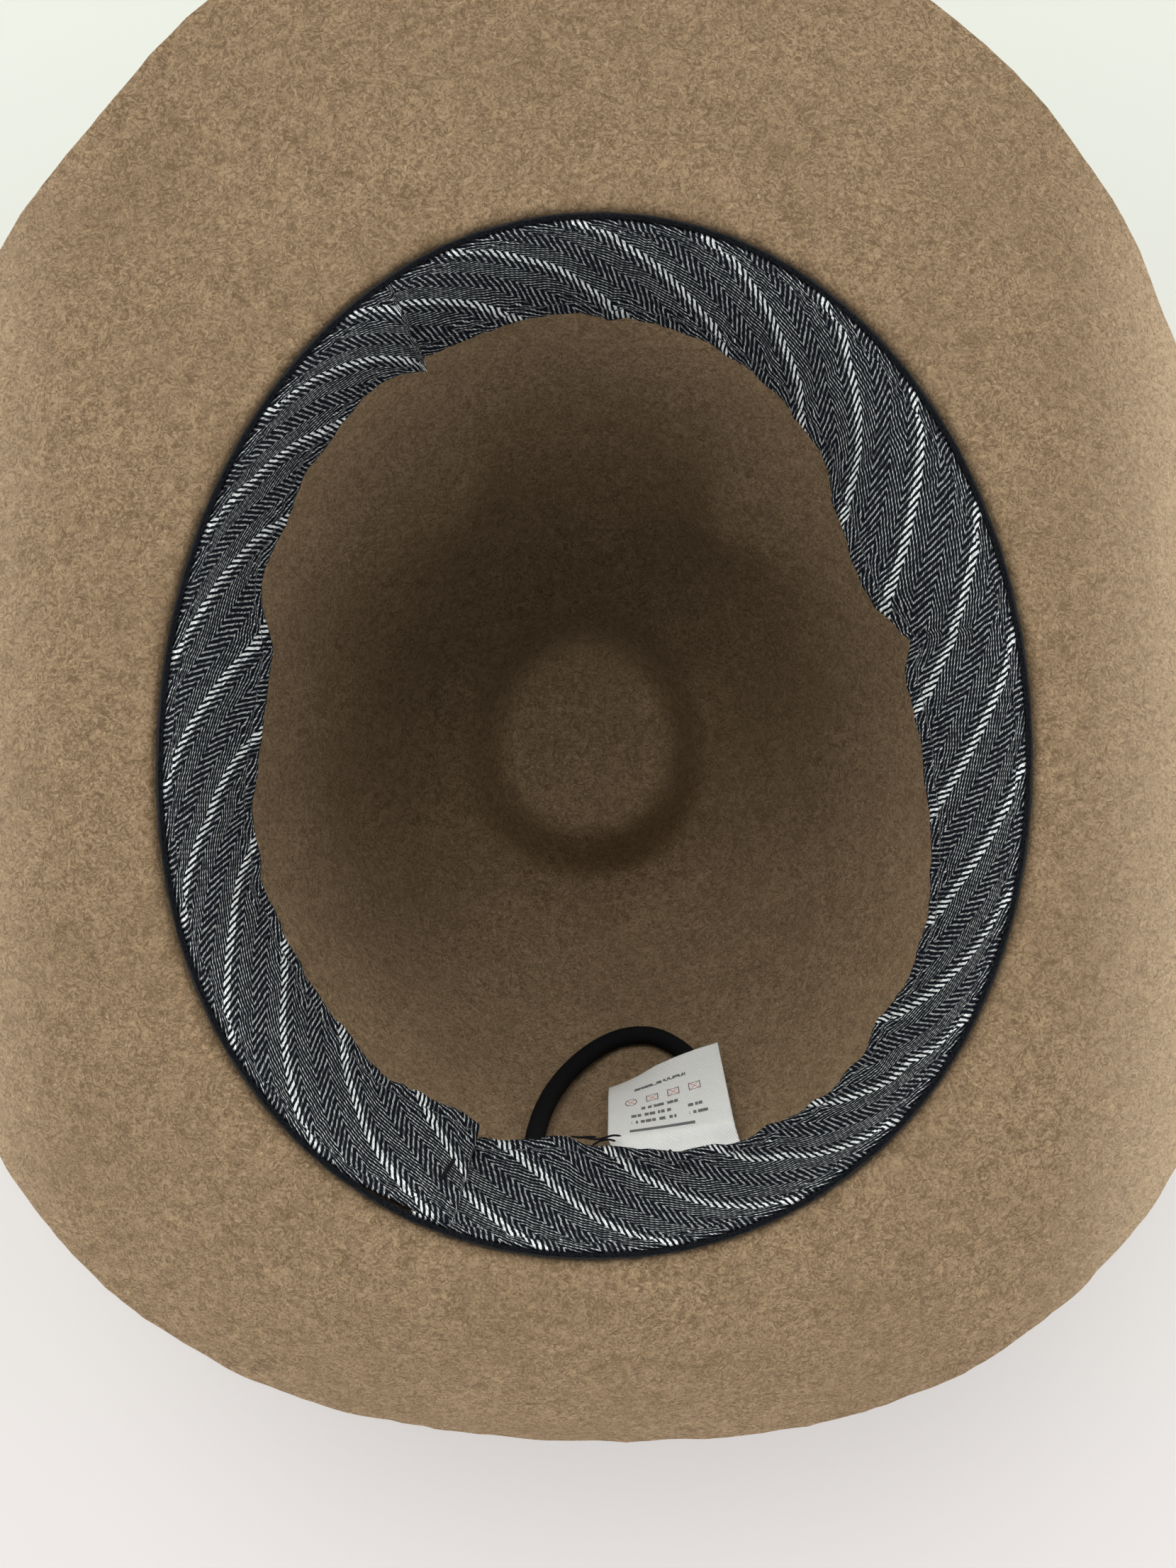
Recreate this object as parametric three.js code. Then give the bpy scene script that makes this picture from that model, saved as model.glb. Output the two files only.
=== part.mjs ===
// A felt hat with a teardrop crown and a curled brim, standing upside down on its crown.
// Millimetres, +Z up out of the head opening, +Y towards the front, +X towards the wearer's left.
import * as THREE from 'three';
import { LoftGeometry } from 'three/addons/geometries/LoftGeometry.js';

// ---- driving dimensions ----
const FACETS = 64; // flats around the hat
const STEP = 360 / FACETS; // degrees per flat
const FELT = 2.4; // felt thickness
const DEPTH = 112; // inside depth, from the brim plane to the crown's ridge
const TOP = DEPTH + FELT; // height of the brim plane over the surface the crown stands on
const CENTRE = { x: 0.7, y: -5.4 }; // middle of the head opening

const OPENING = { halfWidth: 85.8, halfLength: 102.7, taper: -0.05 };
const OVAL_POWER = 2.08; // 2 is an ellipse, more is squarer
const BREAK_RADIUS = 4; // bend between crown wall and brim
const RIDGE = { halfWidth: 42, halfLength: 47, taper: -0.12, forward: 2.5, flat: 6 };
const WALL_SWELL = 1.6; // how long the wall stays upright before it turns in
const SKEW = 2.5; // diagonal lean of the crown's section
const DENT = 16; // depth of the teardrop crease
const DENT_FLOOR = 0.55; // share of the crease's radius that is level
const DENT_RINGS = [0, 0.55, 0.66, 0.77, 0.88, 1]; // where the crease's rings of points lie
const PINCH = { depth: 8, atDepth: 76, tall: 18, wide: 16, angles: [52, 128] };

const BRIM_WIDTH = 64.5; // along the felt
const BRIM_START = 1.25; // where that width is counted from, outside the opening oval
const BRIM_CURL = 1.8; // how late the brim curls
const BRIM_DROP = 18.3; // mean drop of the cut edge below the brim plane
const BRIM_WAVES = [ // [waves per turn, cosine part, sine part] added to the drop
  [1, 2.3, -11.4],
  [2, 3.4, 3.1],
  [3, -0.4, 3.7],
  [4, 2.4, 0],
];

const BAND = { top: 1.75, bottom: 34, gap: 0.4, thick: 1.2, ramp: 1.6 };
const BAND_START = -20 * STEP; // the band's ends overlap by one flat at the back
const BAND_END = BAND_START + 360 + STEP;
const BAND_SLACK = 1.2; // how far the free edge stands off the crown where it lies flat
const BAND_WAVES = [ // where the free edge bulges inwards
  { at: 28, wide: 9, rise: 9 },
  { at: 3, wide: 12, rise: 6.5 },
  { at: 172, wide: 9, rise: 6 },
  { at: -92, wide: 17, rise: 5.6 },
];

const PIPING = { radius: 0.9, inner: 0.55, lift: -0.35, depth: 0.55, slot: 35 };
const REED_RADIUS = 0.4;
const THREAD = 0.25; // radius of the sewing thread rings
const TACK = 0.35; // radius of a bar tack

const RIBBON = { top: 5.2, bottom: 30.2, gap: 0.35, thick: 0.8 };
const BOW = { gap: 0.35, thick: 2.2, knot: 3.2, inset: 1.8, reach: 17, half: 3.2 };

const CORD = 4.6; // diameter of the hanging loop
const CORD_GAP = 0.5;
// The loop's route on the crown's inside: [angle, depth], from one root to the other.
const LOOP_ROUTE = [
  [-97.7, 39.6], [-97.5, 44], [-96.8, 51], [-95.2, 59], [-92.4, 67],
  [-88.3, 74], [-82.8, 78], [-77, 77.5], [-72.8, 73], [-70.2, 66.5],
  [-69.6, 59], [-71, 51.5], [-73.8, 45], [-76.9, 42.2], [-78, 39.4],
];
const LOOP_ROOTS = { left: -97.8, right: -78.2 };
const ROOT_END = { top: 25.5, bottom: 37.6, wide: 5.6, thick: 2 };

// Corners of the care label: x and y from the middle of the opening, and depth.
const LABEL = {
  topLeft: [5, -90.9, 36.2],
  topRight: [34, -86.9, 36.2],
  bottomLeft: [6, -84.2, 61.8],
  bottomRight: [32.6, -72.4, 58.4],
  thick: 0.5,
};
const LABEL_TAB = { from: -86.4, to: -67, top: 29.5, bottom: 35.4, thick: 0.5, gap: 0.35 };

// ---- materials ----
function finish(color, roughness) {
  return new THREE.MeshStandardMaterial({ color, roughness, metalness: 0 });
}

const felt = finish(0x9c7f5a, 0.95);
const ribbonCloth = finish(0x4a3526, 0.7);
const twill = finish(0x77777a, 0.85);
const blackTape = finish(0x141416, 0.8);
const plastic = finish(0x202022, 0.5);
const blackThread = finish(0x0d0d0e, 0.8);
const paleThread = finish(0xc9c4b8, 0.8);
const blackCord = finish(0x0c0c0d, 0.7);
const satin = finish(0xe4e1d8, 0.45);

// ---- the crown and brim as surfaces ----
const rad = THREE.MathUtils.degToRad;
const mix = THREE.MathUtils.lerp;

function oval(angle, { halfWidth, halfLength, taper }) {
  const c = Math.cos(rad(angle));
  const s = Math.sin(rad(angle));
  const bend = (value) => Math.sign(value) * Math.abs(value) ** (2 / OVAL_POWER);
  return new THREE.Vector3(halfWidth * bend(c) * (1 + taper * s), halfLength * bend(s), 0);
}

// The direction square to the opening oval, pointing away from the head.
function outward(angle) {
  const before = oval(angle - 0.5, OPENING);
  const along = oval(angle + 0.5, OPENING).sub(before);
  return new THREE.Vector3(along.y, -along.x, 0).normalize();
}

function turnBetween(angle, other) {
  return Math.abs(((((angle - other) % 360) + 540) % 360) - 180);
}

function bell(distance, width) {
  return Math.exp(-((distance / width) ** 2));
}

// How far the crown wall is pushed in by the front pinches and the crown's lean.
function pushedIn(angle, depth, share) {
  const high = bell(depth - PINCH.atDepth, PINCH.tall);
  const pinches = PINCH.angles.map((at) => bell(turnBetween(angle, at), PINCH.wide));
  const fade = 6.75 * share * (1 - share) ** 2; // 0 at both ends, 1 a third of the way down
  const lean = SKEW * Math.sin(rad(2 * angle)) * fade;
  return PINCH.depth * high * Math.max(...pinches) + lean;
}

// A point on the inside of the crown wall, `depth` below the brim plane.
function wallPoint(angle, depth) {
  const share = THREE.MathUtils.clamp((depth - BREAK_RADIUS) / (DEPTH - BREAK_RADIUS), 0, 1);
  const wide = (1 - share ** WALL_SWELL) ** (2 / 3);
  const point = oval(angle, {
    halfWidth: mix(RIDGE.halfWidth, OPENING.halfWidth, wide),
    halfLength: mix(RIDGE.halfLength, OPENING.halfLength, wide),
    taper: mix(RIDGE.taper, OPENING.taper, wide),
  });
  point.addScaledVector(outward(angle), -pushedIn(angle, depth, share));
  return point.add(new THREE.Vector3(CENTRE.x, CENTRE.y + RIDGE.forward * (1 - wide), TOP - depth));
}

// The same point lifted off the wall: positive into the crown, negative out through it.
function onWall(angle, depth, lift) {
  const around = wallPoint(angle + 0.5, depth).sub(wallPoint(angle - 0.5, depth));
  const down = wallPoint(angle, depth + 0.5).sub(wallPoint(angle, depth - 0.5));
  return wallPoint(angle, depth).addScaledVector(around.cross(down).normalize(), lift);
}

function besideOpening(angle, out, depth) {
  const point = oval(angle, OPENING).addScaledVector(outward(angle), out);
  return point.add(new THREE.Vector3(CENTRE.x, CENTRE.y, TOP - depth));
}

// The bend from the wall to the brim; `turn` runs from 0 at the wall to 90 at the brim.
function breakPoint(angle, turn, thickness) {
  const radius = BREAK_RADIUS - thickness;
  const out = BREAK_RADIUS - radius * Math.cos(rad(turn));
  return besideOpening(angle, out, BREAK_RADIUS - radius * Math.sin(rad(turn)));
}

function brimDrop(angle) {
  const wave = (sum, [count, c, s]) =>
    sum + c * Math.cos(rad(count * angle)) + s * Math.sin(rad(count * angle));
  return BRIM_WAVES.reduce(wave, BRIM_DROP);
}

// The brim's underside (thickness 0) or top side, from its start (0) to its cut edge (1).
function brimPoint(angle, reach, thickness) {
  const drop = brimDrop(angle);
  const edge = BRIM_START + BRIM_WIDTH - (drop * drop) / BRIM_WIDTH / 1.5;
  const out = mix(BREAK_RADIUS, edge, reach);
  const slope = (BRIM_CURL * drop * reach ** (BRIM_CURL - 1)) / (edge - BREAK_RADIUS);
  const tilt = Math.atan(slope);
  const down = drop * reach ** BRIM_CURL + thickness * Math.cos(tilt);
  return besideOpening(angle, out - thickness * Math.sin(tilt), down);
}

// The crown's tip inside the ridge: `reach` runs from 1 at the ridge to 0 in the middle.
function tipPoint(angle, reach, thickness) {
  const point = oval(angle, {
    halfWidth: (RIDGE.halfWidth - RIDGE.flat) * reach,
    halfLength: (RIDGE.halfLength - RIDGE.flat) * reach,
    taper: RIDGE.taper,
  });
  const crease = DENT * (1 - THREE.MathUtils.smoothstep(reach, DENT_FLOOR, 1));
  const height = FELT - thickness + crease;
  return point.add(new THREE.Vector3(CENTRE.x, CENTRE.y + RIDGE.forward, height));
}

// ---- building solids from cross sections ----
function stations(from, to, count) {
  return Array.from({ length: count + 1 }, (_, i) => mix(from, to, i / count));
}

function ring(pointAt) {
  return stations(0, 360 - STEP, FACETS - 1).map(pointAt);
}

// A solid ring round the hat. `section` lists [lift, depth] pairs at each angle.
function ringSolid(section) {
  const sections = stations(0, 360, FACETS).map((angle) =>
    section(angle).map(([lift, depth]) => onWall(angle, depth, lift)));
  return new LoftGeometry(sections);
}

// A solid strip along part of the wall, closed at both ends.
function stripSolid(from, to, count, section) {
  const sections = stations(from, to, count).map((angle) =>
    section(angle).map(([lift, depth]) => onWall(angle, depth, lift)));
  return new LoftGeometry(sections, { capStart: true, capEnd: true });
}

// A band's section between two lifts, with enough rows to follow the wall's swell.
function slab(near, far, top, bottom, rows = 1) {
  const depths = stations(top, bottom, rows);
  return [
    ...depths.map((depth) => [near, depth]),
    ...depths.toReversed().map((depth) => [far, depth]),
  ];
}

function circle(lift, depth, radius, sides) {
  return stations(0, 360 - 360 / sides, sides - 1).map((turn) =>
    [lift + radius * Math.cos(rad(turn)), depth - radius * Math.sin(rad(turn))]);
}

function tube(points, radius, sides, steps) {
  const outline = stations(0, 360 - 360 / sides, sides - 1).map((turn) =>
    new THREE.Vector2(radius * Math.cos(rad(turn)), radius * Math.sin(rad(turn))));
  return new THREE.ExtrudeGeometry(new THREE.Shape(outline), {
    extrudePath: new THREE.CatmullRomCurve3(points),
    steps,
    bevelEnabled: false,
  });
}

// ---- sub-parts ----
function feltBody() {
  const wallDepths = stations(90, 0, 9).slice(1, -1)
    .map((turn) => mix(BREAK_RADIUS, DEPTH, Math.sin(rad(turn)) ** 1.25));
  const skin = (thickness) => [
    ...DENT_RINGS.map((reach) => ring((a) => tipPoint(a, reach, thickness))),
    ring((a) => wallPoint(a, DEPTH).setZ(FELT - thickness)),
    ...wallDepths.map((depth) => ring((a) => onWall(a, depth, -thickness))),
    ...[0, 45, 90].map((turn) => ring((a) => breakPoint(a, turn, thickness))),
    ...[0.25, 0.5, 0.75, 1].map((reach) => ring((a) => brimPoint(a, reach, thickness))),
  ];
  const outside = skin(FELT);
  const inside = skin(0).reverse();
  return new LoftGeometry([...outside, ...inside]);
}

function hatbandRibbon() {
  const near = -(FELT + RIBBON.gap);
  return ringSolid(() => slab(near - RIBBON.thick, near, RIBBON.top, RIBBON.bottom, 4));
}

// Lift of the outer face of anything laid on the ribbon.
const ON_RIBBON = -(FELT + RIBBON.gap + RIBBON.thick + BOW.gap);

function bowLoop(side) {
  const from = side * (BOW.half + 0.4);
  const to = side * BOW.reach;
  const edges = [Math.min(from, to), Math.max(from, to)];
  return stripSolid(...edges, 4, (angle) => {
    const along = (Math.abs(angle) - BOW.half) / (BOW.reach - BOW.half);
    const thick = BOW.thick * (0.55 + 0.45 * Math.sin(Math.PI * along));
    const top = RIBBON.top + BOW.inset;
    const bottom = RIBBON.bottom - BOW.inset;
    return slab(ON_RIBBON - thick, ON_RIBBON, top, bottom, 4);
  });
}

function bowKnot() {
  const top = RIBBON.top + 0.4;
  const bottom = RIBBON.bottom + 0.6;
  return stripSolid(-BOW.half, BOW.half, 3, () =>
    slab(ON_RIBBON - BOW.knot, ON_RIBBON, top, bottom, 4));
}

function hatbandTack(angle) {
  const lift = ON_RIBBON - TACK;
  return tube([-1.2, 0, 1.2].map((turn) => onWall(angle + turn, 8, lift)), TACK, 6, 3);
}

// Stand-off of the sweatband's outer face from the crown wall.
function bandLift(angle, depth) {
  const rise = (sum, wave) => sum + wave.rise * bell(turnBetween(angle, wave.at), wave.wide);
  const edge = BAND_WAVES.reduce(rise, BAND_SLACK);
  const rampStart = BAND_END - 3 * STEP;
  const ramp = THREE.MathUtils.clamp((angle - rampStart) / (2 * STEP), 0, 1);
  return BAND.gap + edge * (depth / BAND.bottom) ** 1.6 + BAND.ramp * ramp;
}

function sweatband() {
  const depths = stations(BAND.top, BAND.bottom, 4);
  return stripSolid(BAND_START, BAND_END, FACETS + 1, (angle) => {
    const outer = depths.map((depth) => [bandLift(angle, depth), depth]);
    const inner = outer.map(([lift, depth]) => [lift + BAND.thick, depth]).reverse();
    return [...outer, ...inner];
  });
}

// A seam of thread lying on the sweatband's face, `depth` below the brim plane.
function bandThread(depth) {
  return stripSolid(BAND_START + 2 * STEP, BAND_END - STEP, FACETS - 2, (angle) =>
    circle(bandLift(angle, depth) + BAND.thick + 0.35 + THREAD, depth, THREAD, 4));
}

// Tape folded round the reed, open along its underside.
function sweatbandPiping() {
  const arc = (radius, count) => stations(-90 + PIPING.slot, 270 - PIPING.slot, count)
    .map((turn) => [
      PIPING.lift - radius * Math.cos(rad(turn)),
      PIPING.depth - radius * Math.sin(rad(turn)),
    ]);
  const section = [...arc(PIPING.radius, 5).reverse(), ...arc(PIPING.inner, 4)];
  return ringSolid(() => section);
}

function pipingReed() {
  return ringSolid(() => circle(PIPING.lift, PIPING.depth, REED_RADIUS, 6));
}

function bandFaceLift(angle, depth) {
  return bandLift(angle, depth) + BAND.thick + 0.3 + TACK;
}

function joinTack() {
  const angle = BAND_END - 2.2;
  return tube([19, 23, 27].map((d) => onWall(angle, d, bandFaceLift(angle, d))), TACK, 6, 4);
}

function loopTack(root) {
  const depth = 28;
  const points = [-1.7, 0, 1.7].map((turn) =>
    onWall(root + turn, depth, bandFaceLift(root + turn, depth)));
  return tube(points, TACK, 6, 4);
}

function hangingLoop() {
  const lift = CORD_GAP + CORD / 2;
  const points = LOOP_ROUTE.map(([angle, depth]) => onWall(angle, depth, lift));
  return tube(points, CORD / 2, 10, 26);
}

// The flattened end of the loop, sewn between the felt and the sweatband.
function loopEnd(root) {
  const half = THREE.MathUtils.radToDeg(ROOT_END.wide / 2 / OPENING.halfLength);
  const { top, bottom, thick } = ROOT_END;
  return stripSolid(root - half, root + half, 2, () =>
    slab(BAND.gap, BAND.gap + thick, top, bottom, 2));
}

function careLabel() {
  const corner = ([x, y, depth]) => new THREE.Vector3(CENTRE.x + x, CENTRE.y + y, TOP - depth);
  const topLeft = corner(LABEL.topLeft);
  const topRight = corner(LABEL.topRight);
  const bottomLeft = corner(LABEL.bottomLeft);
  const bottomRight = corner(LABEL.bottomRight);
  const across = topRight.clone().sub(topLeft);
  const face = across.cross(bottomLeft.clone().sub(topLeft)).normalize().multiplyScalar(-LABEL.thick);
  const row = (share) => {
    const left = topLeft.clone().lerp(bottomLeft, share);
    const right = topRight.clone().lerp(bottomRight, share);
    const back = stations(0, 1, 4).map((t) => left.clone().lerp(right, t));
    const front = back.map((point) => point.clone().add(face)).reverse();
    return [...back, ...front];
  };
  return new LoftGeometry(stations(0, 1, 4).map(row), { capStart: true, capEnd: true });
}

// The label's top edge, caught between the loop's end and the sweatband.
function labelTab() {
  const { from, to, top, bottom, thick, gap } = LABEL_TAB;
  return stripSolid(from, to, 6, (angle) => {
    const far = bandLift(angle, top) - gap;
    const nearEdge = bandLift(angle, bottom) - gap;
    return [[far - thick, top], [nearEdge - thick, bottom], [nearEdge, bottom], [far, top]];
  });
}

function threadTail() {
  const route = [[-92.4, 33, 1.9], [-90, 35.6, 1.7], [-87.5, 35.4, 1.4], [-85.2, 36.6, 1.9]];
  const points = route.map(([angle, depth, off]) =>
    onWall(angle, depth, bandLift(angle, BAND.bottom) + off));
  return tube(points, TACK, 6, 8);
}

// ---- assembly ----
function piece(name, geometry, material) {
  const mesh = new THREE.Mesh(geometry, material);
  mesh.name = name;
  return mesh;
}

const hat = new THREE.Group();
hat.add(
  piece('felt_body', feltBody(), felt),
  piece('hatband_ribbon', hatbandRibbon(), ribbonCloth),
  piece('bow_front_loop', bowLoop(1), ribbonCloth),
  piece('bow_back_loop', bowLoop(-1), ribbonCloth),
  piece('bow_knot', bowKnot(), ribbonCloth),
  piece('hatband_tack_front', hatbandTack(90), paleThread),
  piece('hatband_tack_right', hatbandTack(180), paleThread),
  piece('hatband_tack_back', hatbandTack(270), paleThread),
  piece('sweatband', sweatband(), twill),
  piece('sweatband_piping', sweatbandPiping(), blackTape),
  piece('sweatband_reed', pipingReed(), plastic),
  piece('sweatband_seam_thread', bandThread(3.4), blackThread),
  piece('sweatband_hem_thread', bandThread(31), paleThread),
  piece('sweatband_join_tack', joinTack(), blackThread),
  piece('hanging_loop', hangingLoop(), blackCord),
  piece('care_label', careLabel(), satin),
  piece('care_label_tab', labelTab(), satin),
  piece('thread_tail', threadTail(), blackThread),
);
for (const [side, root] of Object.entries(LOOP_ROOTS)) {
  hat.add(
    piece(`hanging_loop_end_${side}`, loopEnd(root), blackCord),
    piece(`hanging_loop_tack_${side}`, loopTack(root), blackThread),
  );
}

export default hat;
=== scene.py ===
"""A felt hat lying on its crown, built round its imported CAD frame."""
import math

import bpy
import numpy as np
from mathutils import Euler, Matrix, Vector


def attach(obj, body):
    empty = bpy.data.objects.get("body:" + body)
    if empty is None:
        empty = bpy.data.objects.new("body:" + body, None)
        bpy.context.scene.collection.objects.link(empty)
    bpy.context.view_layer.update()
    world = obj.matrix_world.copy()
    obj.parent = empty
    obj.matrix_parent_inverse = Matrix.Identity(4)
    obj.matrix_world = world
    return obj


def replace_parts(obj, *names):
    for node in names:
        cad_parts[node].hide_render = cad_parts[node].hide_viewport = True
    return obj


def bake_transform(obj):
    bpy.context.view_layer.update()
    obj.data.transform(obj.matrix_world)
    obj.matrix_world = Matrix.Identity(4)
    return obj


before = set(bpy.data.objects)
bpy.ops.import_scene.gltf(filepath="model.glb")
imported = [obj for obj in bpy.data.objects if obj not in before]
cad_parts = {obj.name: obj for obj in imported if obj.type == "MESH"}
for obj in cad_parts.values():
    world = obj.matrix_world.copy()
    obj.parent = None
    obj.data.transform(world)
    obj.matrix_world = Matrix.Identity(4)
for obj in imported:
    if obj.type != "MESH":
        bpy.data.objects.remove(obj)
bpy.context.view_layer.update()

MM = 0.001

# ---- driving dimensions in millimetres, the same hat as the CAD frame ----
FELT = 2.4  # thickness
DEPTH = 112.0  # of the crown, inside
TOP = DEPTH + FELT
CENTRE = (0.7, -5.4)  # of the head opening
OPENING = (85.8, 102.7, -0.05)  # half width, half length, taper
OVAL_POWER = 2.08
BREAK_RADIUS = 4.0  # where crown turns into brim
RIDGE = (42.0, 47.0, -0.12)  # the crown's far end: half width, half length, taper
RIDGE_FORWARD = 2.5
RIDGE_FLAT = 6.0
WALL_SWELL = 1.6
SKEW = 2.5  # how far the crown leans across its diagonals
DENT = 16.0  # depth of the tip's dent
DENT_FLOOR = 0.55  # share of its radius that is level
PINCH_DEPTH = 8.0  # of the two pinches at the front
PINCH_AT = 76.0
PINCH_TALL = 18.0
PINCH_WIDE = 16.0
PINCH_ANGLES = (52, 128)
BRIM_WIDTH = 64.5
BRIM_START = 1.25
BRIM_CURL = 1.8  # power of the brim's fall from crown to edge
BRIM_DROP = 18.3  # of its edge, on average
# Waves in that drop: (how many round the brim, cosine part, sine part).
BRIM_WAVES = ((1, 2.3, -11.4), (2, 3.4, 3.1), (3, -0.4, 3.7), (4, 2.4, 0.0))

BAND_TOP = 1.15
BAND_BOTTOM = 34.0
BAND_GAP = 0.4
BAND_RAMP = 1.6  # how far the lap lifts the band's end
TOP_SEAM = 4.1  # depth of the seam under the piping
HEM_SEAM = 2.6  # height of the edge seam above the free edge
FLAT = 360 / 64  # the CAD band is built in 64 flats
BAND_START = -20 * FLAT
BAND_END = BAND_START + 360 + FLAT
# Folds across the sweatband: (angle, height, how soon it fades below and above that angle, lean).
FOLDS = (
    (121.0, 4.3, 0.3, 4.5, -0.03), (14.4, 1.7, 0.8, 4.5, 0.10), (40.0, 1.2, 2.5, 2.5, -0.08),
    (52.0, 0.9, 2.0, 1.0, 0.06), (190.0, 1.0, 1.8, 3.0, 0.05), (214.0, 0.9, 2.5, 1.5, -0.06),
    (151.0, 0.8, 3.0, 2.0, 0.06), (-40.0, 0.9, 2.2, 3.0, 0.08), (-61.0, 0.8, 3.0, 1.4, -0.06),
    (88.0, 0.8, 3.0, 1.5, 0.07),
)
# How far the sweatband's free edge stands off the crown: (angle, millimetres).
EDGE_LIFT = (
    (-107, 1.4), (-104, 2.2), (-100, 5.4), (-96, 7.4), (-86, 5.2), (-78, 3.6), (-66, 1.2), (-54, 0.7),
    (-45, 0.8), (-39, 1.5), (-29, 0.9), (-20, 2.2), (-13, 4.0), (-4, 6.2), (4, 7.6), (11, 8.1),
    (15, 5.2), (17, 5.4), (21, 10.6), (24, 12.2), (28, 12.0), (33, 10.9), (38, 8.4), (42, 6.2),
    (49, 3.0), (58, 1.3), (68, 0.6), (86, 0.6), (98, 0.6), (105, 1.3), (112, 1.9), (117, 0.9),
    (120, 0.4), (127, 0.4), (136, 0.5), (148, 0.6), (157, 1.0), (163, 2.2), (166, 5.2), (169, 8.1),
    (172, 7.6), (178, 6.4), (185, 5.4), (192, 2.6), (200, 2.8), (208, 3.5), (227, 3.6), (236, 3.4),
    (244, 4.0), (249, 4.4), (253.2, 3.2),
)

PIPING_RADIUS = 0.40
PIPING_LIFT = 0.25
PIPING_DEPTH = 0.35
RIBBON_TOP = 5.2
RIBBON_BOTTOM = 30.2
RIBBON_GAP = 0.35
RIBBON_THICK = 0.8
RIBBON_MM = 1.72  # length of ribbon in one degree round the crown

CORD = 4.6
CORD_GAP = 0.5
# The cord's middle along the wall: (angle, depth).
LOOP_ROUTE = (
    (-97.7, 39.6), (-97.5, 44), (-96.8, 51), (-95.2, 59), (-92.4, 67),
    (-88.3, 74), (-82.8, 78), (-77, 77.5), (-72.8, 73), (-70.2, 66.5),
    (-69.6, 59), (-71, 51.5), (-73.8, 45), (-76.9, 42.2), (-78, 39.4),
)
LOOP_ROOTS = (-97.8, -78.2)
LOOP_ROOT_DEPTH = 31.0

# Corners of the label's hanging part: (x, y from the opening's centre, depth).
LABEL_TOP = ((5.0, -90.9, 36.2), (34.0, -86.9, 36.2))
LABEL_BOTTOM = ((6.0, -84.2, 61.8), (32.6, -72.4, 58.4))
LABEL_THICK = 0.32
LABEL_WIDE = 28.6
LABEL_TALL = 33.0
LABEL_SEWN = 5.5  # the part of that height behind the band
LABEL_TAB = (-86.4, -67.0)  # angles of its sewn edge

OPENING_MM = 1.6  # length in one degree round the opening
OPENING_RADIUS = 94  # its mean radius
rng = np.random.default_rng(58)


# ---- the hat's surfaces ----
def rad(angle):
    return np.radians(angle)


def mix(a, b, t):
    return a + (b - a) * t


def ease(low, high, value):
    """0 below low, 1 above high, and smooth between them."""
    t = np.clip((value - low) / (high - low), 0, 1)
    return t * t * (3 - 2 * t)


def bend(value):
    """Turns a circle's sine or cosine into a slightly squared oval's."""
    return np.sign(value) * np.abs(value) ** (2 / OVAL_POWER)


def oval(angle, half_width, half_length, taper):
    c, s = np.cos(rad(angle)), np.sin(rad(angle))
    x = half_width * bend(c) * (1 + taper * s)
    return np.stack(np.broadcast_arrays(x, half_length * bend(s), 0 * x), -1)


def unit(v):
    return v / np.maximum(np.linalg.norm(v, axis=-1, keepdims=True), 1e-9)


def outward(angle):
    """Square to the opening's rim, level, pointing away from its centre."""
    along = oval(angle + 0.5, *OPENING) - oval(angle - 0.5, *OPENING)
    return unit(np.stack([along[..., 1], -along[..., 0], 0 * along[..., 0]], -1))


def turn_between(angle, other):
    return np.abs((angle - other + 180) % 360 - 180)


def bell(distance, width):
    return np.exp(-((distance / width) ** 2))


def pushed_in(angle, depth, share):
    """How far the pinches and the lean bring the wall inwards."""
    pinches = np.maximum(*[bell(turn_between(angle, at), PINCH_WIDE) for at in PINCH_ANGLES])
    lean = SKEW * np.sin(rad(2 * angle)) * 6.75 * share * (1 - share) ** 2
    return PINCH_DEPTH * bell(depth - PINCH_AT, PINCH_TALL) * pinches + lean


def wall_point(angle, depth):
    """The inside of the crown wall, `depth` below the brim plane."""
    angle, depth = np.broadcast_arrays(np.asarray(angle, float), np.asarray(depth, float))
    share = np.clip((depth - BREAK_RADIUS) / (DEPTH - BREAK_RADIUS), 0, 1)
    wide = (1 - share**WALL_SWELL) ** (2 / 3)
    sizes = [mix(small, big, wide) for small, big in zip(RIDGE, OPENING)]
    point = oval(angle, *sizes) - outward(angle) * pushed_in(angle, depth, share)[..., None]
    place = [CENTRE[0] + 0 * wide, CENTRE[1] + RIDGE_FORWARD * (1 - wide), TOP - depth]
    return point + np.stack(place, -1)


def wall_normal(angle, depth):
    """Square to the wall, pointing into the crown."""
    around = wall_point(angle + 0.5, depth) - wall_point(angle - 0.5, depth)
    down = wall_point(angle, depth + 0.5) - wall_point(angle, depth - 0.5)
    return unit(np.cross(around, down))


def on_wall(angle, depth, lift):
    angle, depth = np.asarray(angle, float), np.asarray(depth, float)
    return wall_point(angle, depth) + wall_normal(angle, depth) * np.asarray(lift, float)[..., None]


def beside_opening(angle, out, depth):
    """A point `out` from the opening's rim and `depth` below its plane."""
    angle, out, depth = np.broadcast_arrays(angle, out, depth)
    point = oval(angle, *OPENING) + outward(angle) * out[..., None]
    return point + np.stack([CENTRE[0] + 0 * depth, CENTRE[1] + 0 * depth, TOP - depth], -1)


def break_point(angle, turn, thickness):
    """The rounded turn from crown to brim, 0 degrees at the crown and 90 at the brim."""
    radius = BREAK_RADIUS - thickness
    out = BREAK_RADIUS - radius * np.cos(rad(turn))
    return beside_opening(angle, out, BREAK_RADIUS - radius * np.sin(rad(turn)))


def brim_drop(angle):
    drop = BRIM_DROP + 0 * angle
    for count, c, s in BRIM_WAVES:
        drop = drop + c * np.cos(rad(count * angle)) + s * np.sin(rad(count * angle))
    return drop


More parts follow.
